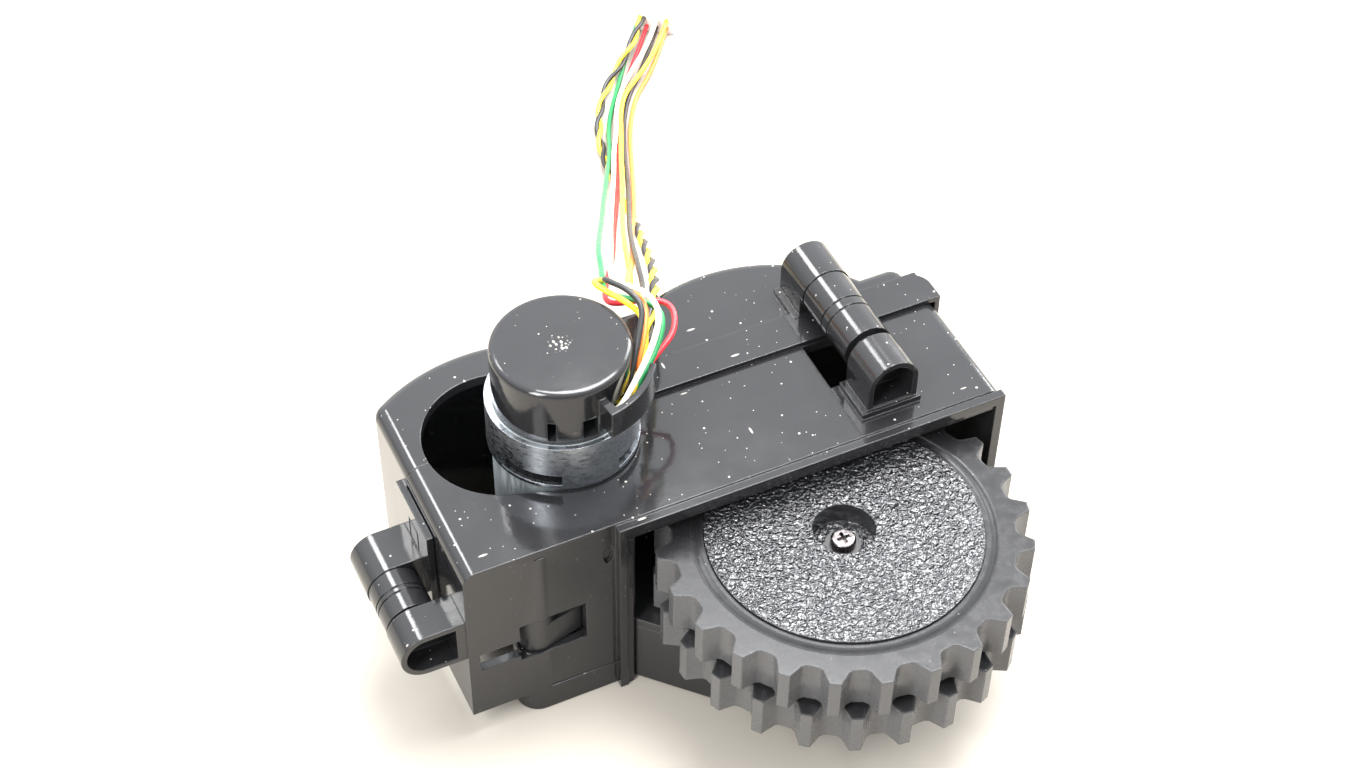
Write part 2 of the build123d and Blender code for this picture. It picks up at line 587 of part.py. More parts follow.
def gearbox_case():
    seam_z = BOX_Z[1] - COVER_T
    case = prism(box_outline() + case_ears(), BOX_Z[0], seam_z)
    case -= prism(box_outline(BOX_WALL), BOX_Z[0] + FLOOR_T, seam_z + 1)
    for place in (SCREWS[1], SCREWS[3]):
        case += rod(place, 1.9, BOX_Z[0], seam_z) & prism(box_outline(), BOX_Z[0], seam_z)
    for axle in (FIRST, SECOND):
        case += rod(axle, BOSS_R, BOX_Z[0], BOX_Z[0] + FLOOR_T + BOSS_STEP)
        case -= rod(axle, AXLE_R + PIN_FIT, BOX_Z[0] + 0.8, BOX_Z[0] + FLOOR_T + 1)
    case += rod(WHEEL, OUTPUT_R + 2.4, BOX_Z[0], BOX_Z[0] + FLOOR_T + BUSH_STEP)
    case -= rod(WHEEL, OUTPUT_R + BUSH_WALLS[0] + PIN_FIT, BOX_Z[0] + 0.7, BOX_Z[0] + FLOOR_T + 1)
    for place in SCREWS:
        case -= rod(place, SCREW_R + 0.15, BOX_Z[0], seam_z + 1)
        case -= rod(place, SCREW_HEAD_R + 0.2, BOX_Z[0] - 1, BOX_Z[0] + SCREW_HEAD_H + 0.1)
    return case


def gearbox_cover():
    seam_z = BOX_Z[1] - COVER_T
    cover = prism(box_outline() + case_ears(), seam_z, BOX_Z[1])
    cover += prism(link(PIVOT, KNUCKLE_R, NECK_END, NECK_R), KNUCKLE_Z[0], NECK_Z)
    cover += rod(PIVOT, KNUCKLE_R, KNUCKLE_Z[0], KNUCKLE_Z[1])
    cover -= rod(PIVOT, PIN_R + TURN_FIT, KNUCKLE_Z[0] - 1, KNUCKLE_Z[1] + 1)
    cover += rod(SPRING_POST, POST_COLLAR_R, BOX_Z[1] - 0.2, SPRING_Z - SPRING_R - 0.6)
    cover += rod(SPRING_POST, POST_R, BOX_Z[1] - 0.2, SPRING_Z + 1.6)
    cover -= rod(MOTOR, PINIONS[0] * MODULES[0] / 2 + 1.4, seam_z - 1, BOX_Z[1] + 1)
    for axle in (FIRST, SECOND):
        cover -= rod(axle, AXLE_R + PIN_FIT, seam_z - 1, BOX_Z[1] - 0.6)
    cover -= rod(WHEEL, OUTPUT_R + BUSH_WALLS[1] + PIN_FIT, seam_z - 1, BOX_Z[1] + 1)
    for place in motor_screw_places():
        cover -= rod(place, SCREW_R + 0.1, seam_z - 1, BOX_Z[1] + 1)
        cover -= rod(place, SCREW_HEAD_R + 0.15, seam_z - 1, seam_z + SCREW_HEAD_H + 0.05)
    for place in SCREWS:
        cover -= rod(place, SCREW_R + 0.05, seam_z - 1, BOX_Z[1] - 0.5)
    return cover


def motor_screw_places():
    return [around(MOTOR, 8.0, bearing) for bearing in (60, 240)]


def gearbox_screws():
    top = BOX_Z[0] + SCREW_HEAD_H
    return [screw(place, SCREW_R, SCREW_HEAD_R, SCREW_HEAD_H, top, BOX_Z[1] - 0.8) for place in SCREWS]


def motor_screws():
    top = BOX_Z[1] - COVER_T + SCREW_HEAD_H
    return [screw(place, SCREW_R, SCREW_HEAD_R, SCREW_HEAD_H, top, BOX_Z[1] + 2.4)
            for place in motor_screw_places()]


# Motor and encoder
def motor_can():
    low = BOX_Z[1]
    can = rod(MOTOR, CAN_R, low, CAN_Z)
    can = chamfer(can.edges().sort_by(Axis.Z)[0], 0.8)
    can -= rod(MOTOR, CAN_R - CAN_WALL, low + CAN_WALL, CAN_Z + 1)
    can -= rod(MOTOR, SHAFT_R + TURN_FIT, low - 1, low + 2)
    for place in motor_screw_places():
        can -= rod(place, SCREW_R + 0.1, low - 1, low + 2)
    return can


def flux_ring():
    ring = tube(MOTOR, RING_R, CAN_R + 0.03, *RING_Z)
    for start in RING_SLOT_STARTS:
        for opposite in (0, 180):
            slot = sector(MOTOR, CAN_R - 1, RING_R + 1, start + opposite, start + opposite + RING_SLOT_ANGLE)
            ring -= prism(slot, *RING_SLOT_Z)
    return ring


def motor_magnets():
    inner = CAN_R - CAN_WALL - 2.2
    outer = CAN_R - CAN_WALL - 0.05
    return [prism(sector(MOTOR, inner, outer, start, start + 130), BOX_Z[1] + 4, CAN_Z - 8)
            for start in (25, 205)]


def rotor_core():
    radius = CAN_R - CAN_WALL - 2.7
    core = disc(MOTOR, radius) - disc(MOTOR, SHAFT_R + 0.01)
    for bearing in (0, 72, 144, 216, 288):
        a, b = around(MOTOR, 4.4, bearing), around(MOTOR, radius + 2, bearing)
        core -= link(a, 1.5, b, 0.8)
    return prism(core, BOX_Z[1] + 6, CAN_Z - 11)


def rotor_windings():
    """End turns of the windings, above and below the core."""
    low, high = BOX_Z[1] + 6, CAN_Z - 11
    upper = tube(MOTOR, 8.8, 2.2, high, high + 2.4)
    upper = chamfer(upper.edges().group_by(Axis.Z)[-1], 0.9)
    lower = tube(MOTOR, 8.8, 2.2, low - 1.6, low)
    return [chamfer(lower.edges().group_by(Axis.Z)[0], 0.7), upper]


def commutator():
    return tube(MOTOR, 3.0, SHAFT_R + 0.01, CAN_Z - 7.5, CAN_Z - 2.2)


def motor_brushes():
    z0 = CAN_Z - 6.4
    left = block(MOTOR[0] - 8.0, MOTOR[0] - 3.1, MOTOR[1] - 1, MOTOR[1] + 1, z0, z0 + 4.6)
    right = block(MOTOR[0] + 3.1, MOTOR[0] + 8.0, MOTOR[1] - 1, MOTOR[1] + 1, z0, z0 + 4.6)
    return [left, right]


def motor_end_cap():
    cap = rod(MOTOR, CAN_R - CAN_WALL - 0.05, CAN_Z - 1.6, CAN_Z) + rod(MOTOR, CAP_R, CAN_Z, CAP_Z[0])
    return cap - rod(MOTOR, SHAFT_R + TURN_FIT, CAN_Z - 3, CAP_Z[0] + 1)


def motor_shaft():
    return rod(MOTOR, SHAFT_R, FACE_Z[0], CAP_Z[1] - 3.4)


def encoder_disc():
    return tube(MOTOR, 4.6, SHAFT_R + 0.01, BOARD_Z[1] + 1.2, BOARD_Z[1] + 3.6)


def encoder_board():
    inside = CAP_R - CAP_WALL - 0.15
    board = prism(disc(MOTOR, inside) - disc(MOTOR, SHAFT_R + 1.0), *BOARD_Z)
    standoff = tube(MOTOR, 3.6, SHAFT_R + 1.0, CAP_Z[0], BOARD_Z[0])
    chip = block(MOTOR[0] - 9.2, MOTOR[0] - 6.0, MOTOR[1] - 4.6, MOTOR[1] - 1.0, BOARD_Z[1] - 0.1, BOARD_Z[1] + 1.3)
    header = prism(sector(MOTOR, HEADER_R - 2.6, HEADER_R, *HEADER_ANGLE), HEADER_Z[0], HEADER_Z[1] + 0.1)
    return board + standoff + chip + header


def encoder_cap():
    """Cup over the encoder, cut away where the wires leave, with a hook that holds them."""
    cup = rod(MOTOR, CAP_R, *CAP_Z)
    cup = fillet(cup.edges().sort_by(Axis.Z)[-1], CAP_EDGE_R)
    cup -= rod(MOTOR, CAP_R - CAP_WALL, CAP_Z[0] - 1, CAP_Z[1] - 1.4)
    cup -= prism(sector(MOTOR, CAP_R - 3, CAP_R + 3, *EXIT_ANGLE), CAP_Z[0] - 1, EXIT_Z)
    for window in WINDOW_ANGLES:
        cup -= prism(sector(MOTOR, CAP_R - 3, CAP_R + 3, *window), CAP_Z[0] - 1, WINDOW_Z)
    hook = prism(sector(MOTOR, *HOOK_R, *HOOK_ANGLE), *HOOK_Z)
    stem = prism(sector(MOTOR, CAP_R - 0.6, HOOK_R[1], HOOK_ANGLE[0] - HOOK_STEM, HOOK_ANGLE[0] + 1), *HOOK_Z)
    return cup + hook + stem


# Wheel
def tread_row(z0, z1, turn):
    row = disc(WHEEL, TIP_R) - disc(WHEEL, RIM_R)
    foot, bend = VALLEY_R, VALLEY_R + 0.15 * (TIP_R - VALLEY_R)
    half = ((foot, 0.3 * VALLEY_W), (bend, VALLEY_W / 2), (TIP_R, VALLEY_TOP_W / 2),
            (TIP_R + 1, VALLEY_TOP_W / 2))
    corners = list(half) + [(x, -y) for x, y in reversed(half)]
    valley = Polygon(*corners, align=None)
    for lug in range(LUGS):
        row -= Pos(*WHEEL) * Rot(0, 0, turn + 360 * lug / LUGS) * valley
    return prism(row, z0, z1)


def tyre():
    """Two rows of lugs, half a pitch apart, on one band that wraps the hub's edge."""
    middle = (TREAD_Z[0] + TREAD_Z[1]) / 2
    band = tube(WHEEL, BAND_R, RIM_R, middle - ROW_GAP - 0.1, middle + ROW_GAP + 0.1)
    upper = tread_row(middle + ROW_GAP, TREAD_Z[1], ROW_TURN + 180 / LUGS)
    lower = tread_row(TREAD_Z[0], middle - ROW_GAP, ROW_TURN)
    edge = tube(WHEEL, RIM_R + 0.1, DISC_R + 0.12, TREAD_Z[1] - 0.9, TREAD_Z[1] - 0.2)
    return band + upper + lower + edge


def wheel_hub():
    hub = tube(WHEEL, RIM_R - 0.05, RIM_R - RIM_T, TREAD_Z[0] + 0.6, TREAD_Z[1] - 1.0)
    hub += rod(WHEEL, DISC_R, DISC_Z - DISC_T, DISC_Z)
    hub += rod(WHEEL, RIM_R - 0.5, DISC_Z - DISC_T, TREAD_Z[1] - 1.0)
    hub += rod(WHEEL, HUB_R, HUB_Z, DISC_Z)
    for rib in range(HUB_RIBS):
        web = block(HUB_R - 0.4, RIM_R - RIM_T + 0.2, -RIB_T / 2, RIB_T / 2, HUB_Z + 2, DISC_Z - DISC_T)
        hub += Pos(*WHEEL) * Rot(0, 0, 360 * rib / HUB_RIBS) * web
    for bearing in MARK_ANGLES:
        hub -= tube(around(WHEEL, MARK_REACH, bearing), MARK_R, MARK_R - MARK_W, DISC_Z - MARK_D, DISC_Z + 1)
    hub -= rod(WHEEL, HUB_HOLE_R, DISC_Z - HUB_HOLE_D, DISC_Z + 1)
    hub -= prism(shaft_section(TURN_FIT), HUB_Z - 1, SHAFT_TOP + 0.1)
    return hub - rod(WHEEL, WHEEL_SCREW_R + 0.15, SHAFT_TOP - 1, DISC_Z)


def shaft_section(grow=0.0):
    """Round shaft with one flat."""
    x, y = WHEEL
    keep = rect(x - OUTPUT_R - 1, x + FLAT + grow, y - OUTPUT_R - 1, y + OUTPUT_R + 1)
    return disc(WHEEL, OUTPUT_R + grow) & keep


def output_shaft():
    shaft = rod(WHEEL, OUTPUT_R, BOX_Z[0] + 0.9, HUB_Z - 0.3)
    shaft += prism(shaft_section(), HUB_Z - 0.4, SHAFT_TOP)
    return shaft - rod(WHEEL, WHEEL_SCREW_R + 0.02, SHAFT_TOP - 9, SHAFT_TOP + 1)


def wheel_washer():
    base = DISC_Z - HUB_HOLE_D
    return tube(WHEEL, WASHER_R, WHEEL_SCREW_R + 0.2, base, base + WASHER_T)


def wheel_screw():
    """Cross-head screw that clamps the wheel to its shaft."""
    seat = DISC_Z - HUB_HOLE_D + WASHER_T
    head = rod(WHEEL, WHEEL_HEAD_R, seat, seat + WHEEL_HEAD_H)
    head = fillet(head.edges().sort_by(Axis.Z)[-1], 0.6)
    x, y = WHEEL
    for dx, dy in ((1.3, 0.32), (0.32, 1.3)):
        head -= block(x - dx, x + dx, y - dy, y + dy, seat + 0.6, seat + WHEEL_HEAD_H + 1)
    return head + rod(WHEEL, WHEEL_SCREW_R, SHAFT_TOP - 8, seat + 0.1)


def upper_bush():
    """Flanged bush, pressed into the cover from inside the gearbox."""
    wall = BUSH_WALLS[1]
    seam_z = BOX_Z[1] - COVER_T
    ring = tube(WHEEL, OUTPUT_R + wall, OUTPUT_R + TURN_FIT, seam_z, BOX_Z[1])
    return ring + tube(WHEEL, OUTPUT_R + wall + 0.8, OUTPUT_R + TURN_FIT, seam_z - 0.6, seam_z)


# Suspension spring
def suspension_spring():
    """Extension spring with a ring at each end, drawn along X from one post to the other."""
    reach = math.dist(SPRING_POST, SPRING_PEG)
    eye_r = POST_R + SPRING_WIRE_R + 0.1
    start = POST_R + SPRING_WIRE_R + 0.6
    touch = math.sqrt(eye_r ** 2 - SPRING_R ** 2)
    body = reach - 2 * start
    coil = Pos(start, 0, 0) * Rot(0, 90, 0) * Rot(0, 0, 90) * Helix(body / SPRING_TURNS, body, SPRING_R)
    section = Plane(origin=coil @ 0, z_dir=coil % 0) * RegularPolygon(SPRING_WIRE_R, 6)
    spring = sweep(section, path=coil)
    for centre, inward, end in ((0, 1, coil @ 0), (reach, -1, coil @ 1)):
        eye = Plane.XZ * Pos(eye_r, 0) * RegularPolygon(SPRING_WIRE_R, 6)
        spring += Pos(centre, 0, 0) * revolve(eye, Axis.Z)
        bar = Rot(0, inward * 90, 0) * Cylinder(SPRING_WIRE_R, start - touch + 0.1,
                                                align=(Align.CENTER, Align.CENTER, Align.MIN))
        spring += Pos(centre + inward * touch, end.Y, end.Z) * bar
    heading = math.degrees(math.atan2(SPRING_PEG[1] - SPRING_POST[1], SPRING_PEG[0] - SPRING_POST[0]))
    return Pos(SPRING_POST[0], SPRING_POST[1], SPRING_Z) * Rot(0, 0, heading) * spring


# Wires and their plug
def route_tube(points, radius):
    """Round tube along a route: straight runs joined by arcs as large as the runs allow."""
    radii = []
    for before, here, after in zip(points, points[1:], points[2:]):
        turn = (Vector(*here) - Vector(*before)).get_angle(Vector(*after) - Vector(*here))
        shorter = min(math.dist(before, here), math.dist(here, after))
        radii.append(BEND_SHARE * shorter / math.tan(math.radians(turn / 2)))
    path = FilletPolyline(*points, radius=radii)
    section = Plane(origin=path @ 0, z_dir=path % 0) * Circle(radius)
    return sweep(section, path=path), radii, path.length


def plug_place():
    """Frame at the plug's rear face: X along the plug, Y across it."""
    heading = math.degrees(math.atan2(PLUG_DIRECTION[1], PLUG_DIRECTION[0]))
    return Pos(PLUG_FACE[0], PLUG_FACE[1], 0) * Rot(0, 0, heading)


def plug_columns():
    return [(column - 1.5) * PLUG_PITCH for column in range(4)]


def plug_housing():
    half = 2 * PLUG_PITCH + 0.7
    body = block(0, PLUG_L, -half, half, 0, PLUG_H)
    body += block(PLUG_L * 0.3, PLUG_L * 0.75, -1.6, 1.6, PLUG_H - 0.1, PLUG_H + 0.9)
    room = CONTACT / 2 + 0.15
    for y in plug_columns():
        for z in PLUG_ROWS:
            body -= block(PLUG_L - CONTACT_L - 1, PLUG_L + 1, y - room, y + room, z - room, z + room)
    return plug_place() * body


def plug_contacts():
    start = PLUG_L - CONTACT_L - 1
    half = CONTACT / 2
    return [plug_place() * block(start, start + CONTACT_L, y - half, y + half, z - half, z + half)
            for y in plug_columns() for z in PLUG_ROWS]


# The part's frame: origin under the middle of everything but the wires, on the plane that it lies on
LEFT_END = SIDE_TOWER[0] - TOWER_R
RIGHT_END = BODY_X + LIP_T
FRONT_END = WHEEL[1] - TIP_R
BACK_END = max(REAR_LEFT[1] + REAR_LEFT_R, REAR_RIGHT[1] + REAR_RIGHT_R)
TO_FRAME = Pos(-(LEFT_END + RIGHT_END) / 2, -(FRONT_END + BACK_END) / 2, 0)


def save(name, shape):
    solids = shape if isinstance(shape, list) else [shape]
    moved = [TO_FRAME * solid for solid in solids]
    export_step(moved[0] if len(moved) == 1 else Compound(children=moved), f"parts/{name}.step")


def main():
    box = housing_box()
    save("housing_front", housing_front(box))
    save("housing_rear", housing_rear(box))
    save("tower_sleeve_right", tower_sleeve(PLATE_TOWER, *PLATE_TOWER_Y[2:4], PLATE_TOWER_Y[1]))
    save("tower_sleeve_left", tower_sleeve(SIDE_TOWER, *SIDE_TOWER_Y[2:4], SIDE_TOWER_Y[1]))
    save("pivot_pin", rod(PIVOT, PIN_R, 1.0, PLATE_Z - PLATE_T - 4.2))

    save("gearbox_case", gearbox_case())
    save("gearbox_cover", gearbox_cover())
    save("gearbox_screws", gearbox_screws())
    save("first_axle", rod(FIRST, AXLE_R, BOX_Z[0] + 0.9, BOX_Z[1] - 0.7))
    save("second_axle", rod(SECOND, AXLE_R, BOX_Z[0] + 0.9, BOX_Z[1] - 0.7))

    save("lower_bush", tube(WHEEL, OUTPUT_R + BUSH_WALLS[0], OUTPUT_R + TURN_FIT, BOX_Z[0] + 0.7,
                            BOX_Z[0] + FLOOR_T + BUSH_STEP))
    save("upper_bush", upper_bush())
    save("first_gear", compound_gear(0))
    save("second_gear", compound_gear(1))
    save("output_gear", output_gear())
    save("motor_pinion", motor_pinion())
    save("suspension_spring", suspension_spring())

    save("motor_can", motor_can())
    save("motor_screws", motor_screws())
    save("rotor_windings", rotor_windings())
    save("flux_ring", flux_ring())
    save("motor_magnets", motor_magnets())
    save("rotor_core", rotor_core())
    save("commutator", commutator())
    save("motor_brushes", motor_brushes())
    save("motor_end_cap", motor_end_cap())
    save("motor_shaft", motor_shaft())
    save("encoder_disc", encoder_disc())
    save("encoder_board", encoder_board())
    save("encoder_cap", encoder_cap())

    save("tyre", tyre())
    save("wheel_hub", wheel_hub())
    save("output_shaft", output_shaft())
    save("wheel_washer", wheel_washer())
    save("wheel_screw", wheel_screw())

    for name, points in ROUTES.items():
        radius = PAIR_R if name == "wire_pair" else WIRE_R
        wire, radii, length = route_tube(points, radius)
        save(name, wire)
        share = wire.volume / (math.pi * radius ** 2 * length)
        print(name, "length", round(length, 1), "volume against section", round(share, 4),
              "smallest bends", [round(bend, 1) for bend in sorted(radii)[:4]])
    save("plug_housing", plug_housing())
    save("plug_contacts", plug_contacts())


main()
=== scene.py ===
import bpy
import math
from mathutils import Matrix, Vector

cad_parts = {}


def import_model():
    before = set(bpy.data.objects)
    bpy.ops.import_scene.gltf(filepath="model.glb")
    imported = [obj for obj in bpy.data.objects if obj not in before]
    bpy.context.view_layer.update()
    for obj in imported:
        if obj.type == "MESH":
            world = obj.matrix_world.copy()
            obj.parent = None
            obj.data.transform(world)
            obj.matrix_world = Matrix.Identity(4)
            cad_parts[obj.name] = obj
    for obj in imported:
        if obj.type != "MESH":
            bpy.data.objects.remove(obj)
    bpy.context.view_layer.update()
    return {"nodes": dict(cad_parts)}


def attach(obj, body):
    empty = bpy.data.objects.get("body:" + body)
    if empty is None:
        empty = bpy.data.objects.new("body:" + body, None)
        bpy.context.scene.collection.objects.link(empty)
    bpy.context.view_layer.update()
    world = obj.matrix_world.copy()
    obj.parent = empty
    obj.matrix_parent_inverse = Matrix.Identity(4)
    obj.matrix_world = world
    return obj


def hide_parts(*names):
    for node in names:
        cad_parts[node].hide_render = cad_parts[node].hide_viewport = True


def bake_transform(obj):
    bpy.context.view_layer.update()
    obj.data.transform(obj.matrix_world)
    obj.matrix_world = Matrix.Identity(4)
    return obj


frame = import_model()
nodes = frame["nodes"]
scene = bpy.context.scene

# Camera, in the part's axes: solved from the photograph
CAMERA_AZIMUTH = -26.139
CAMERA_ELEVATION = 46.879
CAMERA_ROLL = 1.021
CAMERA_TARGET = (0.01497, 0.04137, 0.026)
CAMERA_DISTANCE = 0.48728
CAMERA_LENS = 63.82

# Upright axes of the wheel and of the motor, in the part's millimetres
WHEEL_AXIS = (20.75, -15.15)
MOTOR_AXIS = (-19.15, 21.85)

# Studio: direction of the brightest sky, and its strength there and on the far side
SKY_PEAK = (0.2, 0.5, 0.85)
SKY_HIGH = 2.75
SKY_LOW = 0.75

# Floor: half its side, how far it lies under the part, and its two tones
FLOOR_HALF = 3.0
FLOOR_DROP = 0.0001
FLOOR_TONES = ((0.37, 0.335, 0.29), (0.4, 0.37, 0.325))

# Wires: control points of each route, in metres
WIRE_D = 0.0011
PAIR_D = 0.0022
PAIR_TURNS = 13
PAIR_STEPS = 340
ROUTES = {
    "wire_green": [
        (-0.01615, 0.01355, 0.06150), (-0.01412, 0.01165, 0.06020), (-0.01187, 0.01008, 0.06180),
        (-0.00680, 0.01337, 0.06500), (-0.00204, 0.01723, 0.06680), (0.00143, 0.02169, 0.06920),
        (-0.00001, 0.02549, 0.07020), (-0.00504, 0.02894, 0.07020), (-0.00609, 0.03242, 0.06930),
        (-0.00224, 0.04186, 0.06450), (0.00185, 0.05305, 0.05900), (0.01335, 0.07755, 0.04000),
        (0.02485, 0.10255, 0.02200), (0.03435, 0.12205, 0.01000), (0.04035, 0.13405, 0.00420),
        (0.04435, 0.14405, 0.00100), (0.04785, 0.15055, 0.00070), (0.05235, 0.15705, 0.00070),
        (0.05635, 0.16305, 0.00070), (0.06135, 0.16980, 0.00160), (0.06735, 0.17780, 0.00160)],
    "wire_white": [
        (-0.01515, 0.01405, 0.06030), (-0.01468, 0.01037, 0.06160), (-0.01288, 0.00912, 0.06400),
        (-0.00929, 0.01094, 0.06740), (-0.00398, 0.01521, 0.06980), (0.00016, 0.02072, 0.07140),
        (-0.00056, 0.02475, 0.07340), (-0.00420, 0.03032, 0.07220), (-0.00237, 0.03763, 0.06700),
        (0.00435, 0.05255, 0.05800), (0.01535, 0.07755, 0.03900), (0.02635, 0.10155, 0.02200),
        (0.03485, 0.11955, 0.01180), (0.04035, 0.13205, 0.00600), (0.04535, 0.14155, 0.00250),
        (0.04835, 0.14855, 0.00200), (0.05235, 0.15505, 0.00200), (0.05785, 0.16055, 0.00260),
        (0.06535, 0.16680, 0.00410), (0.07135, 0.17480, 0.00410)],
    "wire_yellow": [
        (-0.01405, 0.01485, 0.06150), (-0.01215, 0.01205, 0.06150), (-0.01015, 0.01055, 0.06390),
        (-0.00713, 0.01481, 0.06480), (-0.00328, 0.01927, 0.06620), (-0.00184, 0.02413, 0.06860),
        (-0.00422, 0.02677, 0.07080), (-0.00831, 0.03229, 0.07200), (-0.00596, 0.03542, 0.06940),
        (-0.00037, 0.03577, 0.06550), (0.00244, 0.03836, 0.06150), (0.00763, 0.05187, 0.05450),
        (0.01335, 0.06655, 0.04600), (0.02435, 0.09155, 0.02800), (0.03435, 0.11355, 0.01420),
        (0.04135, 0.13005, 0.00620), (0.04635, 0.14105, 0.00240), (0.04935, 0.14805, 0.00200),
        (0.05335, 0.15455, 0.00200), (0.05985, 0.15905, 0.00260), (0.06735, 0.16530, 0.00410),
        (0.07335, 0.17330, 0.00410)],
    "wire_black": [
        (-0.01315, 0.01555, 0.06030), (-0.01065, 0.01305, 0.06030), (-0.01009, 0.01266, 0.06400),
        (-0.00769, 0.01529, 0.06720), (-0.00517, 0.01841, 0.07040), (-0.00263, 0.02220, 0.07300),
        (-0.00386, 0.02622, 0.07420), (-0.00635, 0.03037, 0.07380), (-0.00596, 0.03264, 0.07200),
        (-0.00084, 0.03337, 0.06680), (0.00305, 0.03384, 0.06320), (0.00813, 0.04829, 0.05650),
        (0.01635, 0.07005, 0.04200), (0.02685, 0.09355, 0.02550), (0.03635, 0.11505, 0.01200),
        (0.04285, 0.13155, 0.00440), (0.04735, 0.14205, 0.00090), (0.05085, 0.14905, 0.00070),
        (0.05485, 0.15505, 0.00070), (0.05985, 0.16055, 0.00070), (0.06535, 0.16680, 0.00160),
        (0.07135, 0.17480, 0.00160)],
    "wire_orange": [
        (-0.01215, 0.01655, 0.06150), (-0.00965, 0.01455, 0.06150), (-0.00715, 0.01405, 0.06340),
        (-0.00693, 0.01544, 0.06620), (-0.00428, 0.01819, 0.06920), (-0.00111, 0.02399, 0.07100),
        (-0.00192, 0.02875, 0.07100), (-0.00016, 0.03531, 0.06660), (0.00947, 0.05310, 0.05200),
        (0.01843, 0.07400, 0.03750), (0.02835, 0.09405, 0.02450), (0.03735, 0.11455, 0.01200),
        (0.04435, 0.13105, 0.00400), (0.04885, 0.14155, 0.00090), (0.05235, 0.14805, 0.00070),
        (0.05635, 0.15405, 0.00070), (0.06185, 0.15905, 0.00070), (0.06735, 0.16530, 0.00160),
        (0.07335, 0.17330, 0.00160)],
    "wire_red": [
        (-0.01165, 0.01755, 0.06030), (-0.00865, 0.01605, 0.06030), (-0.00665, 0.01505, 0.06270),
        (-0.00179, 0.01815, 0.06400), (0.00358, 0.02146, 0.06460), (0.00592, 0.02771, 0.06520),
        (0.00148, 0.03046, 0.06560), (-0.00551, 0.03342, 0.06400), (-0.00116, 0.04232, 0.06050),
        (0.00635, 0.05605, 0.05150), (0.01535, 0.07605, 0.03750), (0.02635, 0.09905, 0.02150),
        (0.03535, 0.11855, 0.00960), (0.04135, 0.13305, 0.00360), (0.04585, 0.14305, 0.00080),
        (0.04935, 0.14955, 0.00070), (0.05335, 0.15605, 0.00070), (0.05785, 0.16205, 0.00070),
        (0.06335, 0.16830, 0.00160), (0.06935, 0.17630, 0.00160)],
    "wire_pair": [
        (-0.01085, 0.01935, 0.06090), (-0.00765, 0.01835, 0.06090), (-0.00515, 0.01805, 0.06280),
        (-0.00315, 0.02055, 0.06360), (-0.00019, 0.02507, 0.06260), (0.00248, 0.02993, 0.06120),
        (0.00560, 0.03443, 0.05950), (0.00971, 0.04411, 0.05350), (0.01535, 0.05655, 0.04500),
        (0.02285, 0.07805, 0.03100), (0.03035, 0.10005, 0.01700), (0.03535, 0.11905, 0.00700),
        (0.03885, 0.13305, 0.00200), (0.04135, 0.14305, 0.00120), (0.04485, 0.15055, 0.00130),
        (0.04885, 0.15705, 0.00140), (0.05485, 0.16305, 0.00200), (0.06235, 0.16905, 0.00410),
        (0.06835, 0.17705, 0.00410)],
}


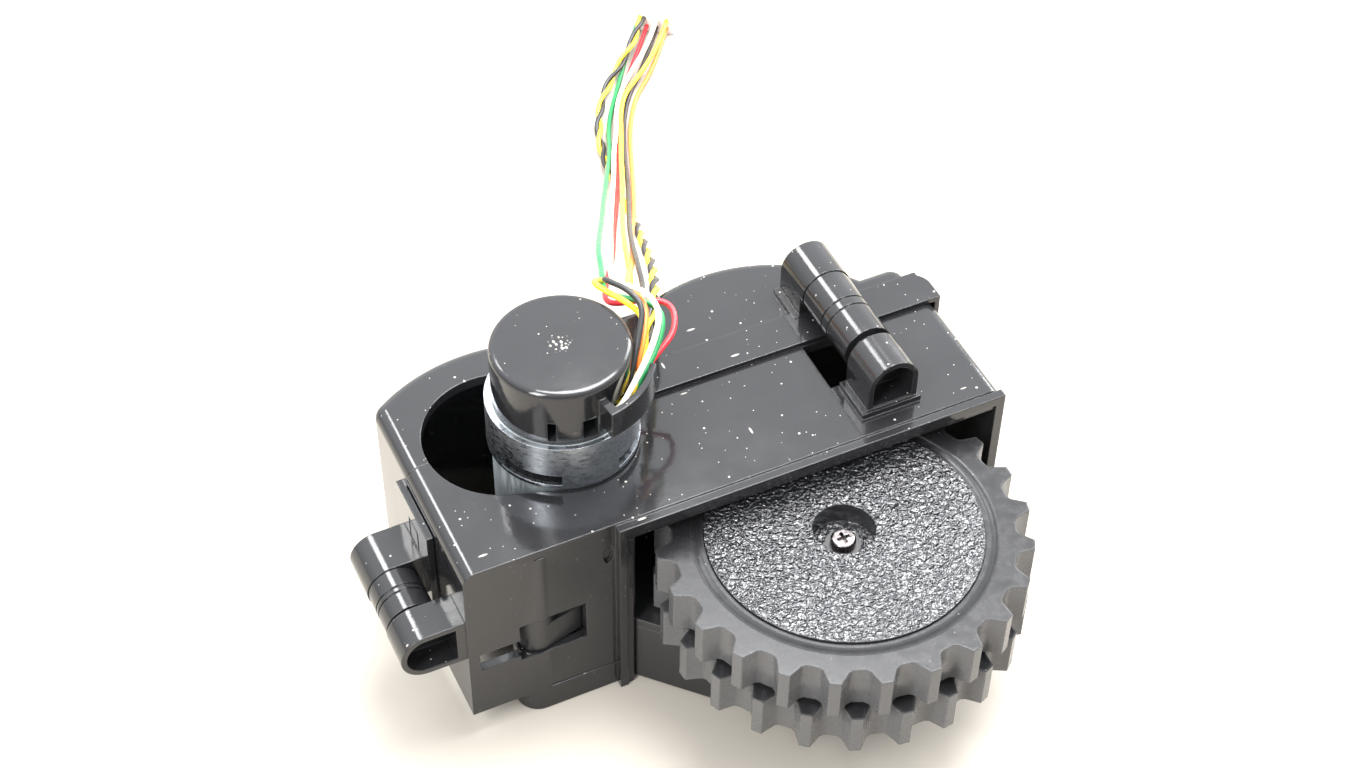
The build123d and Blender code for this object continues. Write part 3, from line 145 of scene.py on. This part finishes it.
# Materials
class Shader:
    """A material and short calls for its nodes."""

    def __init__(self, name):
        self.material = bpy.data.materials.new(name)
        self.material.use_nodes = True
        self.tree = self.material.node_tree
        self.tree.nodes.clear()
        self.surface = self.tree.nodes.new("ShaderNodeBsdfPrincipled")
        self.output = self.tree.nodes.new("ShaderNodeOutputMaterial")
        self.link(self.surface.outputs["BSDF"], self.output.inputs["Surface"])
        self.normal = None

    def node(self, kind, **settings):
        made = self.tree.nodes.new(kind)
        for key, value in settings.items():
            setattr(made, key, value)
        return made

    def link(self, a, b):
        self.tree.links.new(a, b)

    def feed(self, socket, value):
        if isinstance(value, bpy.types.NodeSocket):
            self.link(value, socket)
        else:
            socket.default_value = value

    def place(self, stretch=(1, 1, 1), turn=(0, 0, 0)):
        """Position on the object in millimetres, stretched and turned."""
        coords = self.node("ShaderNodeTexCoord")
        mapping = self.node("ShaderNodeMapping")
        mapping.inputs["Scale"].default_value = [1000 * s for s in stretch]
        mapping.inputs["Rotation"].default_value = [math.radians(t) for t in turn]
        self.link(coords.outputs["Object"], mapping.inputs["Vector"])
        return mapping.outputs["Vector"]

    def noise(self, size, detail=2.0, rough=0.5, where=None, distortion=0.0):
        """Noise whose features are about size millimetres wide."""
        made = self.node("ShaderNodeTexNoise")
        self.link(where or self.place(), made.inputs["Vector"])
        made.inputs["Scale"].default_value = 1 / size
        made.inputs["Detail"].default_value = detail
        made.inputs["Roughness"].default_value = rough
        made.inputs["Distortion"].default_value = distortion
        return made.outputs["Fac"]

    def cells(self, size, where):
        """Cells about size millimetres wide."""
        made = self.node("ShaderNodeTexVoronoi", feature="F1")
        self.link(where, made.inputs["Vector"])
        made.inputs["Scale"].default_value = 1 / size
        made.inputs["Randomness"].default_value = 1.0
        return made

    def math(self, operation, a, b=0.0, clamp=False):
        made = self.node("ShaderNodeMath", operation=operation, use_clamp=clamp)
        self.feed(made.inputs[0], a)
        self.feed(made.inputs[1], b)
        return made.outputs[0]

    def ramp(self, value, low, high, to_low=0.0, to_high=1.0):
        made = self.node("ShaderNodeMapRange", interpolation_type="SMOOTHSTEP")
        self.feed(made.inputs["Value"], value)
        for name, number in (("From Min", low), ("From Max", high), ("To Min", to_low), ("To Max", to_high)):
            made.inputs[name].default_value = number
        return made.outputs["Result"]

    def mix(self, share, a, b):
        made = self.node("ShaderNodeMix", data_type="RGBA")
        self.feed(made.inputs["Factor"], share)
        for socket, colour in ((made.inputs[6], a), (made.inputs[7], b)):
            self.feed(socket, colour if isinstance(colour, bpy.types.NodeSocket) else (*colour, 1.0))
        return made.outputs[2]

    def round_edges(self, radius):
        """Edges catch the light as if they were rounded by radius, in millimetres."""
        made = self.node("ShaderNodeBevel", samples=4)
        made.inputs["Radius"].default_value = radius / 1000
        self.normal = made.outputs["Normal"]
        return self.normal

    def bump(self, height, depth, strength=1.0):
        """Relief whose full height is depth, in millimetres."""
        made = self.node("ShaderNodeBump")
        made.inputs["Strength"].default_value = strength
        made.inputs["Distance"].default_value = depth / 1000
        self.feed(made.inputs["Height"], height)
        if self.normal is not None:
            self.link(self.normal, made.inputs["Normal"])
        self.normal = made.outputs["Normal"]

    def radius(self, centre):
        """Distance in millimetres from an upright axis through centre."""
        parts = self.node("ShaderNodeSeparateXYZ")
        self.link(self.place(), parts.inputs["Vector"])
        x = self.math("SUBTRACT", parts.outputs["X"], centre[0])
        y = self.math("SUBTRACT", parts.outputs["Y"], centre[1])
        return self.math("SQRT", self.math("ADD", self.math("MULTIPLY", x, x), self.math("MULTIPLY", y, y)))

    def height(self):
        parts = self.node("ShaderNodeSeparateXYZ")
        self.link(self.place(), parts.inputs["Vector"])
        return parts.outputs["Z"]

    def band(self, value, low, high, soft):
        """1 between low and high, 0 outside, with soft sides."""
        rise = self.ramp(value, low - soft, low + soft)
        return self.math("MULTIPLY", rise, self.ramp(value, high - soft, high + soft, 1.0, 0.0))

    def upward(self):
        """How far the surface faces up."""
        geometry = self.node("ShaderNodeNewGeometry")
        parts = self.node("ShaderNodeSeparateXYZ")
        self.link(geometry.outputs["True Normal"], parts.inputs["Vector"])
        return self.ramp(parts.outputs["Z"], 0.35, 0.9)

    def specks(self, size=3.4, width=0.1, share=0.5, stretch=(1, 1, 1), turn=(0, 0, 0)):
        """Scattered specks of dust: size apart, width across, on share of the places."""
        where = self.place(stretch, turn)
        made = self.cells(size, where)
        near = self.ramp(made.outputs["Distance"], width / size * 0.6, width / size * 1.25, 1.0, 0.0)
        parts = self.node("ShaderNodeSeparateColor")
        self.link(made.outputs["Color"], parts.inputs["Color"])
        chosen = self.math("GREATER_THAN", parts.outputs["Red"], 1 - share)
        return self.math("MULTIPLY", near, chosen)

    def done(self, colour, roughness, metallic=0.0, **sockets):
        self.feed(self.surface.inputs["Base Color"],
                  colour if isinstance(colour, bpy.types.NodeSocket) else (*colour, 1.0))
        self.feed(self.surface.inputs["Roughness"], roughness)
        self.surface.inputs["Metallic"].default_value = metallic
        for name, value in sockets.items():
            self.feed(self.surface.inputs[name.replace("_", " ")], value)
        if self.normal is not None:
            self.link(self.normal, self.surface.inputs["Normal"])
        return self.material


def edge_wear(shader, radius):
    """1 on edges and corners, 0 on flats."""
    bevel = shader.node("ShaderNodeBevel", samples=4)
    bevel.inputs["Radius"].default_value = radius / 1000
    geometry = shader.node("ShaderNodeNewGeometry")
    dot = shader.node("ShaderNodeVectorMath", operation="DOT_PRODUCT")
    shader.link(bevel.outputs["Normal"], dot.inputs[0])
    shader.link(geometry.outputs["Normal"], dot.inputs[1])
    return shader.ramp(dot.outputs["Value"], 0.9, 0.995, 1.0, 0.0)


def moulding(name, colour, rough, edge=0.35, dust=1.0, orange_peel=0.012, wear=0.25, haze=0.06, cluster=None):
    """Moulded black plastic: faint flow variation, fine scratches, dust on top and paler edges."""
    s = Shader(name)
    s.round_edges(edge)
    flow = s.noise(22.0, 3.0, 0.55, distortion=0.6)
    scratch = s.noise(0.45, 2.0, 0.6, where=s.place((0.05, 1.0, 1.0), (12, 0, 34)))
    s.bump(s.noise(1.3, 2.0, 0.4), orange_peel)
    s.bump(scratch, 0.004)
    worn = s.math("MULTIPLY", edge_wear(s, 0.5), s.noise(2.4, 3.0, 0.6), clamp=True)
    paler = tuple(min(1.0, c * 2.2 + 0.02) for c in colour)
    base = s.mix(s.ramp(flow, 0.3, 0.75, 0.0, 0.35), colour, tuple(c * 1.35 for c in colour))
    base = s.mix(s.math("MULTIPLY", worn, wear), base, paler)
    roughness = s.ramp(s.math("ADD", flow, s.math("MULTIPLY", s.noise(6.0, 3.0), 0.6)), 0.5, 1.2,
                       max(0.02, rough - haze), rough + haze)
    if dust:
        up = s.upward()
        dots = s.specks(2.6, 0.24, 0.5 * dust)
        fibres = s.specks(3.4, 0.2, 0.4 * dust, (1.0, 0.25, 1.0), (0, 0, 35))
        more = s.specks(4.3, 0.22, 0.4 * dust, (0.25, 1.0, 1.0), (0, 0, -28))
        fine = s.specks(1.3, 0.12, 0.35 * dust)
        mask = s.math("ADD", s.math("ADD", dots, fibres), s.math("ADD", more, fine), clamp=True)
        if cluster:
            long_crumbs = s.specks(0.75, 0.24, 0.8, (1.0, 0.6, 1.0), (0, 0, 50))
            crumbs = s.math("ADD", long_crumbs, s.specks(0.9, 0.2, 0.7))
            near = s.ramp(s.radius(cluster), 1.0, 2.6, 1.0, 0.0)
            mask = s.math("ADD", mask, s.math("MULTIPLY", crumbs, near), clamp=True)
        mask = s.math("MULTIPLY", mask, s.math("MULTIPLY", s.math("ADD", up, 0.12, clamp=True), 0.75))
        base = s.mix(mask, base, (0.42, 0.4, 0.36))
        roughness = s.math("ADD", roughness, s.math("MULTIPLY", mask, 0.5), clamp=True)
    return s.done(base, roughness, IOR=1.5)


def metal(name, colour, rough, streak=(1, 1, 0.06), streak_size=0.6, edge=0.15, stain=0.3, slot_shade_band=None):
    """Plated or turned metal with fine tool streaks, faint stains and, on request, a black band by height
    that paints the shade seen through the flux ring's slots.
    """
    s = Shader(name)
    s.round_edges(edge)
    streaks = s.noise(streak_size, 3.0, 0.6, where=s.place(streak))
    s.bump(streaks, 0.006)
    cloud = s.noise(4.0, 3.0, 0.6)
    dark = tuple(c * 0.62 for c in colour)
    base = s.mix(s.ramp(cloud, 0.35, 0.7, 0.0, stain), colour, dark)
    # Painted shade: a black band by height on the can stands in for the shade seen through the flux ring's
    # slots.
    if slot_shade_band:
        base = s.mix(s.band(s.height(), *slot_shade_band, 0.05), base, (0.004, 0.004, 0.004))
    roughness = s.ramp(streaks, 0.3, 0.7, rough - 0.08, rough + 0.1)
    return s.done(base, roughness, metallic=1.0)


def rubber(name):
    """Tread rubber: satin, fine grain, paler rubbed edges and dust in the grain."""
    s = Shader(name)
    s.round_edges(0.45)
    s.bump(s.noise(0.35, 3.0, 0.6), 0.006)
    s.bump(s.noise(3.0, 2.0, 0.5), 0.02)
    s.bump(s.math("MULTIPLY", s.ramp(s.radius(WHEEL_AXIS), 26.7, 28.7), s.upward()), 0.5)
    rubbed = s.math("MULTIPLY", edge_wear(s, 0.7), s.noise(3.0, 3.0, 0.6), clamp=True)
    side = s.mix(s.noise(9.0, 3.0, 0.5), (0.012, 0.012, 0.013), (0.017, 0.017, 0.018))
    # Painted light: faces that don't face up take a much paler base than the upward side of the tyre,
    # standing in for the brighter light the tread faces catch.
    base = s.mix(s.upward(), (0.086, 0.086, 0.088), side)
    base = s.mix(s.math("MULTIPLY", rubbed, 0.4), base, (0.16, 0.16, 0.158))
    fibres = s.specks(4.4, 0.13, 0.4, (0.3, 1, 1), (0, 0, 20))
    dust = s.math("ADD", s.specks(2.6, 0.12, 0.45), fibres, clamp=True)
    base = s.mix(s.math("MULTIPLY", dust, s.math("MULTIPLY", s.upward(), 0.6)), base, (0.4, 0.38, 0.34))
    roughness = s.ramp(s.noise(2.2, 3.0, 0.6), 0.3, 0.7, 0.2, 0.3)
    return s.done(base, roughness, IOR=1.38)


def stipple(name):
    """Gloss black disc with the pebbled texture of a sparked mould."""
    s = Shader(name)
    s.round_edges(0.3)
    worms = s.ramp(s.noise(0.95, 1.0, 0.5, distortion=0.8), 0.28, 0.72)
    fine = s.noise(0.45, 2.0, 0.5)
    height = s.math("ADD", worms, s.math("MULTIPLY", fine, 0.3))
    up = s.upward()
    s.bump(s.math("MULTIPLY", height, up), 0.42)
    base = s.mix(s.noise(8.0, 3.0), (0.014, 0.014, 0.016), (0.024, 0.024, 0.027))
    dust = s.specks(2.2, 0.12, 0.4)
    base = s.mix(s.math("MULTIPLY", dust, s.math("MULTIPLY", up, 0.6)), base, (0.45, 0.43, 0.4))
    return s.done(base, s.ramp(s.noise(2.0, 2.0), 0.3, 0.7, 0.12, 0.2), IOR=1.8)


def insulation(name, colour):
    """Wire insulation: soft sheen, slight grime."""
    s = Shader(name)
    s.bump(s.noise(0.6, 2.0), 0.01)
    grime = s.ramp(s.noise(3.5, 3.0, 0.6), 0.45, 0.75, 0.0, 0.22)
    base = s.mix(grime, colour, tuple(c * 0.6 + 0.01 for c in colour))
    return s.done(base, s.ramp(s.noise(1.1, 2.0), 0.3, 0.7, 0.32, 0.45), IOR=1.46)


def plain(name, colour, rough, grain=0.8, depth=0.01, metallic=0.0):
    """Small moulded or pressed piece with a fine grain."""
    s = Shader(name)
    s.round_edges(0.12)
    s.bump(s.noise(grain, 3.0, 0.6), depth)
    base = s.mix(s.noise(grain * 4, 3.0), tuple(c * 0.85 for c in colour), colour)
    roughness = s.ramp(s.noise(grain * 2, 2.0), 0.3, 0.7, rough - 0.06, rough + 0.06)
    return s.done(base, roughness, metallic=metallic)


BLACK = (0.013, 0.013, 0.014)
STEEL = (0.5, 0.5, 0.5)
BRONZE = (0.6, 0.42, 0.2)
ACETAL = (0.7, 0.69, 0.64)
housing_look = moulding("housing_plastic", BLACK, 0.13)
looks = {
    "housing_front": housing_look,
    "housing_rear": housing_look,
    "tower_sleeve_right": moulding("sleeve_plastic", BLACK, 0.15, edge=0.25, dust=0.7),
    "tower_sleeve_left": moulding("sleeve_plastic_left", BLACK, 0.15, edge=0.25, dust=0.7),
    "pivot_pin": metal("pin_steel", (0.5, 0.5, 0.51), 0.3),
    "suspension_spring": metal("spring_steel", STEEL, 0.32, stain=0.2),
    "gearbox_case": moulding("gearbox_plastic", (0.014, 0.014, 0.015), 0.34, dust=0.5),
    "gearbox_cover": moulding("cover_plastic", (0.014, 0.014, 0.015), 0.34, dust=0.5),
    "gearbox_screws": metal("box_screws", STEEL, 0.35),
    "first_axle": metal("first_axle_steel", (0.6, 0.6, 0.6), 0.25),
    "second_axle": metal("second_axle_steel", (0.6, 0.6, 0.6), 0.25),
    "lower_bush": metal("lower_bush_bronze", BRONZE, 0.4),
    "upper_bush": metal("upper_bush_bronze", BRONZE, 0.4),
    # The can's black band from 48.2 to 51.3 mm is painted shade for the dark seen through the flux ring's
    # slots.
    "motor_can": metal("can_zinc", (0.72, 0.79, 0.82), 0.55, (1, 1, 0.05), 0.5, stain=0.1,
                       slot_shade_band=(48.2, 51.3)),
    "flux_ring": metal("ring_zinc", (0.45, 0.48, 0.52), 0.3, (0.3, 0.3, 1.0), 0.5, stain=0.25),
    "motor_magnets": plain("magnet_ferrite", (0.06, 0.06, 0.062), 0.6),
    "motor_screws": metal("motor_screw_steel", STEEL, 0.35),
    "motor_brushes": plain("brush_carbon", (0.03, 0.03, 0.03), 0.6),
    "motor_end_cap": moulding("end_cap_plastic", (0.02, 0.02, 0.021), 0.35, dust=0),
    "encoder_board": plain("board_green", (0.01, 0.12, 0.05), 0.35),
    "encoder_cap": moulding("cap_plastic", BLACK, 0.1, edge=0.5, dust=0.8, cluster=MOTOR_AXIS),
    "motor_shaft": metal("shaft_steel", (0.6, 0.6, 0.6), 0.22),
    "motor_pinion": metal("pinion_brass", (0.62, 0.45, 0.18), 0.3),
    "rotor_core": metal("core_steel", (0.3, 0.3, 0.31), 0.4),
    "rotor_windings": metal("copper_turns", (0.5, 0.2, 0.08), 0.3),
    "commutator": metal("commutator_copper", (0.6, 0.3, 0.15), 0.28),
    "encoder_disc": plain("disc_magnet", (0.05, 0.05, 0.05), 0.5),
    "first_gear": plain("first_acetal", ACETAL, 0.35),
    "second_gear": plain("second_acetal", ACETAL, 0.35),
    "output_gear": plain("output_acetal", ACETAL, 0.35),
    "output_shaft": metal("output_steel", (0.55, 0.55, 0.55), 0.3),
    "wheel_hub": stipple("hub_stipple"),
    "tyre": rubber("tread_rubber"),
    "wheel_screw": metal("screw_black_nickel", (0.2, 0.18, 0.18), 0.22, edge=0.2),
    "wheel_washer": metal("washer_black", (0.05, 0.05, 0.05), 0.35),
    "plug_housing": plain("plug_nylon", (0.93, 0.93, 0.92), 0.4),
    "plug_contacts": metal("contact_tin", (0.7, 0.66, 0.55), 0.3),
}


def smooth_node(piece):
    """Round faces shade smoothly and hard edges stay hard."""
    for face in piece.data.polygons:
        face.use_smooth = True
    weld = piece.modifiers.new("join", "WELD")
    weld.merge_threshold = 0.000002
    split = piece.modifiers.new("creases", "EDGE_SPLIT")
    split.split_angle = math.radians(32)


for name, look in looks.items():
    piece = nodes[name]
    piece.data.materials.clear()
    piece.data.materials.append(look)
    smooth_node(piece)


# Spring
def stretching_spring():
    """The spring as a piece of its own: a copy of the part's spring mesh, shaded smoothly, that takes the
    place of the hidden part.
    """
    piece = bpy.data.objects.new("stretching_spring", nodes["suspension_spring"].data.copy())
    scene.collection.objects.link(piece)
    smooth_node(piece)
    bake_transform(piece)
    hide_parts("suspension_spring")


stretching_spring()


# Wires
def route_curve(name, points, radius, look=None):
    """Smooth line whose control points are the route's points."""
    data = bpy.data.curves.new(name, "CURVE")
    data.dimensions = "3D"
    data.resolution_u = 10
    data.bevel_depth = radius
    data.bevel_resolution = 4
    data.use_fill_caps = bool(radius)
    spline = data.splines.new("NURBS")
    spline.points.add(len(points) - 1)
    for control, point in zip(spline.points, points):
        control.co = (*point, 1.0)
    spline.order_u = 3
    spline.use_endpoint_u = True
    piece = bpy.data.objects.new(name, data)
    scene.collection.objects.link(piece)
    if look:
        data.materials.append(look)
    return piece


def centreline(points):
    """Points along a route's NURBS line, as Blender gives them for a curve with no bevel."""
    guide = route_curve("guide", points, 0.0)
    bpy.context.view_layer.update()
    mesh = bpy.data.meshes.new_from_object(guide.evaluated_get(bpy.context.evaluated_depsgraph_get()))
    line = [vertex.co.copy() for vertex in mesh.vertices]
    bpy.data.objects.remove(guide)
    bpy.data.meshes.remove(mesh)
    return line


def even_line(line, count):
    """The line with its points evenly spread."""
    reach = [0.0]
    for a, b in zip(line, line[1:]):
        reach.append(reach[-1] + (b - a).length)
    even, at = [], 0
    for step in range(count + 1):
        want = reach[-1] * step / count
        while at < len(line) - 2 and reach[at + 1] < want:
            at += 1
        share = (want - reach[at]) / max(reach[at + 1] - reach[at], 1e-9)
        even.append(line[at].lerp(line[at + 1], min(max(share, 0.0), 1.0)))
    return even


def frames_along(line):
    """A side direction at each point, carried along without twist."""
    side = Vector((0, 0, 1)).cross(line[1] - line[0]).normalized()
    out = []
    for i, point in enumerate(line):
        ahead = (line[min(i + 1, len(line) - 1)] - line[max(i - 1, 0)]).normalized()
        side = (side - ahead * side.dot(ahead)).normalized()
        out.append((point, ahead, side, ahead.cross(side)))
    return out


def strand_mesh(verts, faces, line, radius, sides=8):
    """Adds a round tube along a line to a mesh's lists."""
    first = len(verts)
    for point, _, side, across in frames_along(line):
        for k in range(sides):
            turn = 2 * math.pi * k / sides
            verts.append(point + (side * math.cos(turn) + across * math.sin(turn)) * radius)
    rings = len(line)
    for i in range(rings - 1):
        for k in range(sides):
            a = first + i * sides + k
            b = first + i * sides + (k + 1) % sides
            faces.append((a, b, b + sides, a + sides))
    faces.append(tuple(first + k for k in reversed(range(sides))))
    faces.append(tuple(first + (rings - 1) * sides + k for k in range(sides)))


def twisted_pair(name, points, turns, looks_of_strands):
    """Two insulated strands laid round each other along a route."""
    line = even_line(centreline(points), PAIR_STEPS)
    verts, faces, owners = [], [], []
    for strand in range(2):
        path = []
        for i, (point, _, side, across) in enumerate(frames_along(line)):
            share = i / (len(line) - 1)
            turn = 2 * math.pi * (turns * share + 0.25 * math.sin(9 * share)) + math.pi * strand
            path.append(point + (side * math.cos(turn) + across * math.sin(turn)) * PAIR_D / 4)
        before = len(faces)
        strand_mesh(verts, faces, path, PAIR_D / 4)
        owners += [strand] * (len(faces) - before)
    mesh = bpy.data.meshes.new(name)
    mesh.from_pydata(verts, [], faces)
    for look in looks_of_strands:
        mesh.materials.append(look)
    for face, owner in zip(mesh.polygons, owners):
        face.material_index = owner
        face.use_smooth = True
    piece = bpy.data.objects.new(name, mesh)
    scene.collection.objects.link(piece)
    return piece, line


wire_looks = {
    "wire_green": insulation("green_wire", (0.01, 0.2, 0.06)),
    "wire_white": insulation("white_wire", (0.85, 0.8, 0.66)),
    "wire_yellow": insulation("yellow_wire", (0.85, 0.6, 0.03)),
    "wire_black": insulation("black_wire", (0.02, 0.02, 0.02)),
    "wire_orange": insulation("orange_wire", (0.85, 0.2, 0.03)),
    "wire_red": insulation("red_wire", (0.62, 0.02, 0.03)),
}
for name, look in wire_looks.items():
    wire = route_curve(name + "_lead", ROUTES[name], WIRE_D / 2, look)
    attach(wire, "swing_arm")
    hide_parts(name)
pair_yellow = insulation("pair_yellow", (0.85, 0.62, 0.03))
pair_black = insulation("pair_black", (0.018, 0.018, 0.018))
pair, pair_line = twisted_pair("wire_pair_lead", ROUTES["wire_pair"], PAIR_TURNS, (pair_yellow, pair_black))
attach(pair, "swing_arm")
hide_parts("wire_pair")


# Stage, lights and camera
def floor():
    mesh = bpy.data.meshes.new("floor")
    corners = [(x * FLOOR_HALF, y * FLOOR_HALF, 0) for x, y in ((-1, -1), (1, -1), (1, 1), (-1, 1))]
    mesh.from_pydata(corners, [], [(0, 1, 2, 3)])
    piece = bpy.data.objects.new("floor", mesh)
    scene.collection.objects.link(piece)
    piece.location.z = -FLOOR_DROP
    s = Shader("floor_white")
    s.bump(s.noise(14.0, 3.0), 0.02)
    s.done(s.mix(s.noise(60.0, 2.0), *FLOOR_TONES), 0.75)
    mesh.materials.append(s.material)


def lamp(name, place, aim, size, power):
    data = bpy.data.lights.new(name, "AREA")
    data.shape = "RECTANGLE"
    data.size, data.size_y = size
    data.energy = power
    piece = bpy.data.objects.new(name, data)
    scene.collection.objects.link(piece)
    piece.location = place
    piece.rotation_euler = (Vector(aim) - Vector(place)).to_track_quat("-Z", "Y").to_euler()


def world():
    """White studio, brightest overhead and behind the object."""
    made = bpy.data.worlds.new("studio")
    scene.world = made
    made.use_nodes = True
    tree = made.node_tree
    tree.nodes.clear()
    output = tree.nodes.new("ShaderNodeOutputWorld")
    coords = tree.nodes.new("ShaderNodeTexCoord")
    facing = tree.nodes.new("ShaderNodeVectorMath")
    facing.operation = "DOT_PRODUCT"
    facing.inputs[1].default_value = Vector(SKY_PEAK).normalized()
    tree.links.new(coords.outputs["Generated"], facing.inputs[0])
    level = tree.nodes.new("ShaderNodeMapRange")
    level.interpolation_type = "SMOOTHSTEP"
    for name, number in (("From Min", -0.1), ("From Max", 0.85), ("To Min", SKY_LOW), ("To Max", SKY_HIGH)):
        level.inputs[name].default_value = number
    tree.links.new(facing.outputs["Value"], level.inputs["Value"])
    soft = tree.nodes.new("ShaderNodeBackground")
    soft.inputs["Color"].default_value = (0.95, 0.975, 1.0, 1.0)
    tree.links.new(level.outputs["Result"], soft.inputs["Strength"])
    tree.links.new(soft.outputs["Background"], output.inputs["Surface"])


def camera():
    azimuth, elevation, roll = (math.radians(a) for a in (CAMERA_AZIMUTH, CAMERA_ELEVATION, CAMERA_ROLL))
    back = Vector((math.sin(azimuth) * math.cos(elevation), -math.cos(azimuth) * math.cos(elevation),
                   math.sin(elevation)))
    right = (-back).cross(Vector((0, 0, 1))).normalized()
    up = right.cross(-back)
    side = right * math.cos(roll) + up * math.sin(roll)
    top = up * math.cos(roll) - right * math.sin(roll)
    data = bpy.data.cameras.new("camera")
    data.lens = CAMERA_LENS
    data.sensor_width = 36.0
    data.clip_start = 0.01
    data.clip_end = 20.0
    piece = bpy.data.objects.new("camera", data)
    scene.collection.objects.link(piece)
    place = Vector(CAMERA_TARGET) + back * CAMERA_DISTANCE
    piece.matrix_world = Matrix((
        (side.x, top.x, back.x, place.x), (side.y, top.y, back.y, place.y),
        (side.z, top.z, back.z, place.z), (0, 0, 0, 1)))
    scene.camera = piece


floor()
world()
lamp("top_box", (0.2, 0.16, 0.85), (0.0, 0.0, 0.03), (0.55, 0.45), 20.0)
lamp("back_box", (-0.2, 0.62, 0.78), (0.02, -0.015, 0.04), (0.22, 0.16), 2.4)
lamp("left_box", (-0.6, -0.3, 0.6), (0.0, 0.0, 0.03), (0.2, 0.55), 8.5)
lamp("right_box", (0.7, 0.35, 0.45), (0.0, 0.0, 0.03), (0.2, 0.6), 8.0)
camera()
scene.view_settings.view_transform = "Standard"
